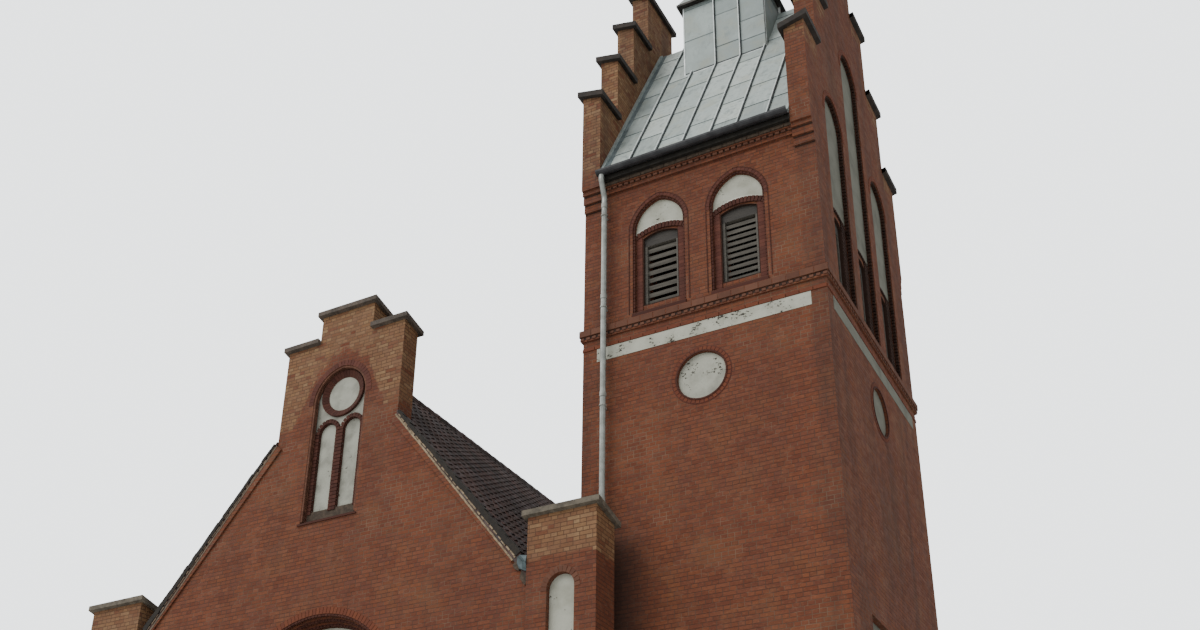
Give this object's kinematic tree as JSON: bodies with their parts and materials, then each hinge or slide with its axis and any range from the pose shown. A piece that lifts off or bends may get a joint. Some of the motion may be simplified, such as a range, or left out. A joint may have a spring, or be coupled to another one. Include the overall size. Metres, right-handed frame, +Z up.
{
  "type": "church building",
  "caption": "Brick church: a nave with stepped gables and corner piers under pantiles, beside a square tower with louvred belfry, stepped gables, metal roof and ridge turret.",
  "frame": {"origin": "on the ground, under the middle of the whole footprint", "axes": "+Z up, -Y out of the front gable and portal, +X from the nave towards the tower"},
  "size_m": [16, 18.29, 27.4003],
  "materials": {
    "red_brick": "rough red brick masonry",
    "ochre_brick": "rough yellow-brown brick masonry",
    "concrete_coping": "weathered grey concrete",
    "plaster": "pale lime plaster",
    "pantile": "dark clay pantiles",
    "zinc": "weathered zinc sheet",
    "dark_metal": "dark weathered metal",
    "louvre_wood": "weathered grey timber",
    "door_wood": "stained timber",
    "window_glass": "dark window glass"
  },
  "bodies": {
    "root": {"nave_front_wall": "red_brick", "nave_back_wall": "red_brick", "nave_left_wall": "red_brick", "nave_right_wall": "red_brick", "tower_front_wall": "red_brick", "tower_back_wall": "red_brick", "tower_left_wall": "red_brick", "tower_right_wall": "red_brick", "tower_string_course": "red_brick", "tower_front_cornice": "red_brick", "tower_back_cornice": "red_brick", "front_left_pier": "ochre_brick", "front_right_pier": "ochre_brick", "back_left_pier": "ochre_brick", "back_right_pier": "ochre_brick", "front_left_pier_coping": "concrete_coping", "front_right_pier_coping": "concrete_coping", "back_left_pier_coping": "concrete_coping", "back_right_pier_coping": "concrete_coping", "front_gable_top_coping": "concrete_coping", "front_gable_left_coping": "concrete_coping", "front_gable_right_coping": "concrete_coping", "back_gable_top_coping": "concrete_coping", "back_gable_left_coping": "concrete_coping", "back_gable_right_coping": "concrete_coping", "front_gable_tracery": "plaster", "back_gable_tracery": "plaster", "nave_roof_left": "pantile", "nave_roof_right": "pantile", "nave_ridge_tiles": "pantile", "tower_roof_front": "zinc", "tower_roof_back": "zinc", "turret_walls": "zinc", "turret_roof": "zinc", "tower_front_gutter": "dark_metal", "tower_back_gutter": "dark_metal", "turret_finial": "dark_metal", "tower_front_left_louvre": "louvre_wood", "tower_front_right_louvre": "louvre_wood", "tower_back_left_louvre": "louvre_wood", "tower_back_right_louvre": "louvre_wood", "tower_left_louvres": "louvre_wood", "tower_right_louvres": "louvre_wood", "main_door": "door_wood", "front_window_left": "window_glass", "front_window_right": "window_glass", "nave_left_windows": "window_glass", "nave_right_windows": "window_glass"}
  },
  "joints": []
}
